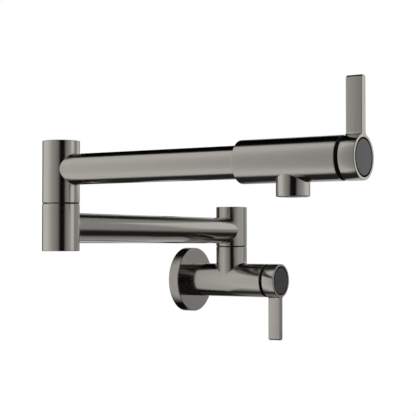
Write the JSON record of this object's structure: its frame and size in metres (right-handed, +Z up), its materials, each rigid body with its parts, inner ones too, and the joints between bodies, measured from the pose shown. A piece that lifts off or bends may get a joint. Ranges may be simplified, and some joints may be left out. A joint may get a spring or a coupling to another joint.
{
  "type": "wall-mounted pot filler",
  "caption": "Wall-mounted double-jointed swing-arm pot filler with a quarter-turn lever valve at the wall and another at the spout.",
  "frame": {"origin": "where the supply thread's axis meets the wall plane, at the middle of the flange's back", "axes": "+Z up, +Y into the wall, +X to the right of someone who faces the wall"},
  "size_m": [0.3518, 0.3675, 0.2384],
  "materials": {
    "gunmetal": "satin brushed gunmetal PVD",
    "insert_metal": "matt anthracite",
    "black_plastic": "matt",
    "white_plastic": "moulded",
    "seal_rubber": "matt",
    "disc_ceramic": "lapped",
    "inner_brass": "turned",
    "stainless": "turned"
  },
  "bodies": {
    "wall_valve": {"wall_flange": "gunmetal", "flange_gasket": "seal_rubber", "flange_o_ring": "seal_rubber", "wall_valve_body": "gunmetal", "riser_spigot": "inner_brass", "riser_o_rings": "seal_rubber", "riser_thrust_washer": "black_plastic", "riser_retaining_ring": "stainless", "wall_cartridge_housing": "inner_brass", "wall_housing_o_ring": "seal_rubber", "wall_seat_seal": "seal_rubber", "wall_fixed_disc": "disc_ceramic", "wall_bonnet_nut": "inner_brass", "wall_spacer_ring": "black_plastic"},
    "wall_handle": {"wall_lever_handle": "gunmetal", "wall_handle_insert": "insert_metal", "wall_handle_screw": "stainless", "wall_stem": "inner_brass", "wall_stem_o_rings": "seal_rubber", "wall_moving_disc": "disc_ceramic"},
    "lower_arm": {"riser_barrel": "gunmetal", "riser_top_cap": "gunmetal", "lower_arm_tube": "gunmetal", "elbow_lower_barrel": "gunmetal", "elbow_bottom_plug": "gunmetal", "elbow_plug_o_ring": "seal_rubber", "elbow_spigot": "inner_brass", "elbow_o_rings": "seal_rubber", "elbow_thrust_washer": "black_plastic", "elbow_retaining_ring": "stainless"},
    "upper_arm": {"elbow_upper_barrel": "gunmetal", "elbow_top_cap": "gunmetal", "upper_arm_tube": "gunmetal", "spout_valve_body": "gunmetal", "spout_outlet": "gunmetal", "aerator_housing": "stainless", "aerator_honeycomb": "white_plastic", "aerator_washer": "seal_rubber", "spout_cartridge_housing": "inner_brass", "spout_housing_o_ring": "seal_rubber", "spout_seat_seal": "seal_rubber", "spout_fixed_disc": "disc_ceramic", "spout_bonnet_nut": "inner_brass", "spout_spacer_ring": "black_plastic"},
    "spout_handle": {"spout_lever_handle": "gunmetal", "spout_handle_insert": "insert_metal", "spout_handle_screw": "stainless", "spout_stem": "inner_brass", "spout_stem_o_rings": "seal_rubber", "spout_moving_disc": "disc_ceramic"}
  },
  "joints": [
    {"name": "wall_handle_turn", "type": "hinge", "parent": "wall_valve", "child": "wall_handle", "pos_m": [0, -0.0609, 0], "axis": [0, -1, 0], "range_deg": [0, 90]},
    {"name": "riser_swivel", "type": "hinge", "parent": "wall_valve", "child": "lower_arm", "pos_m": [0, -0.0609, 0.0551], "axis": [0, 0, 1], "range_deg": [-8, 188]},
    {"name": "elbow_swivel", "type": "hinge", "parent": "lower_arm", "child": "upper_arm", "pos_m": [-0.2974, -0.0609, 0.1084], "axis": [0, 0, 1], "continuous": true},
    {"name": "spout_handle_turn", "type": "hinge", "parent": "upper_arm", "child": "spout_handle", "pos_m": [-0.2974, -0.304, 0.1084], "axis": [0, -1, 0], "range_deg": [0, 90]}
  ]
}
